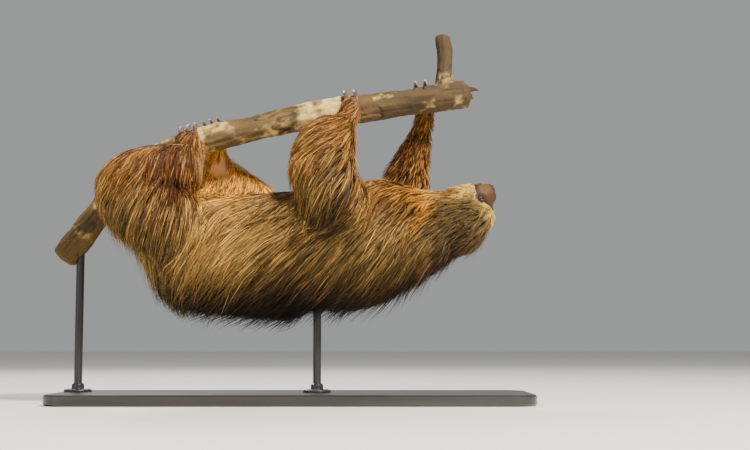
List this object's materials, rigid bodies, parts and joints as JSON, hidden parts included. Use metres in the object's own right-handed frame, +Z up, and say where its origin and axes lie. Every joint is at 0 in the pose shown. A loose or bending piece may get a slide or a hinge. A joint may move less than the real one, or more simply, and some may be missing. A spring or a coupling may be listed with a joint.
{
  "type": "two-toed sloth",
  "caption": "Life-size two-toed sloth hanging belly up by all four limbs under a cut branch, on a flat display stand.",
  "frame": {"origin": "middle of the stand base's flat underside", "axes": "+X towards the sloth's head, +Z up, and the animal's left side faces -Y, since it hangs belly up"},
  "size_m": [0.8255, 0.2657, 0.642],
  "materials": {
    "coat": "long shaggy tan fur",
    "face_coat": "short pale fur",
    "muzzle_skin": "bare brown skin",
    "nose_leather": "moist dark nose leather",
    "eye": "wet dark brown",
    "claw": "horn, satin",
    "bark": "weathered bark with pale lichen",
    "stand_base": "black satin lacquer",
    "stand_rod": "black satin paint"
  },
  "bodies": {
    "root": {"head": "face_coat", "jaw": "face_coat", "muzzle": "muzzle_skin", "nose": "nose_leather", "eye_left": "eye", "eye_right": "eye", "ear_left": "face_coat", "ear_right": "face_coat", "neck": "coat", "trunk_chest": "coat", "trunk_belly": "coat", "trunk_rump": "coat", "upper_arm_left": "coat", "upper_arm_right": "coat", "forearm_left": "coat", "forearm_right": "coat", "hand_left": "coat", "hand_right": "coat", "thigh_left": "coat", "thigh_right": "coat", "shank_left": "coat", "shank_right": "coat", "foot_left": "coat", "foot_right": "coat", "claw_hand_left_1": "claw", "claw_hand_left_2": "claw", "claw_hand_right_1": "claw", "claw_hand_right_2": "claw", "claw_foot_left_1": "claw", "claw_foot_left_2": "claw", "claw_foot_left_3": "claw", "claw_foot_right_1": "claw", "claw_foot_right_2": "claw", "claw_foot_right_3": "claw", "perch": "bark", "stand_base": "stand_base", "stand_rod_body": "stand_rod", "stand_rod_perch": "stand_rod"}
  },
  "joints": []
}
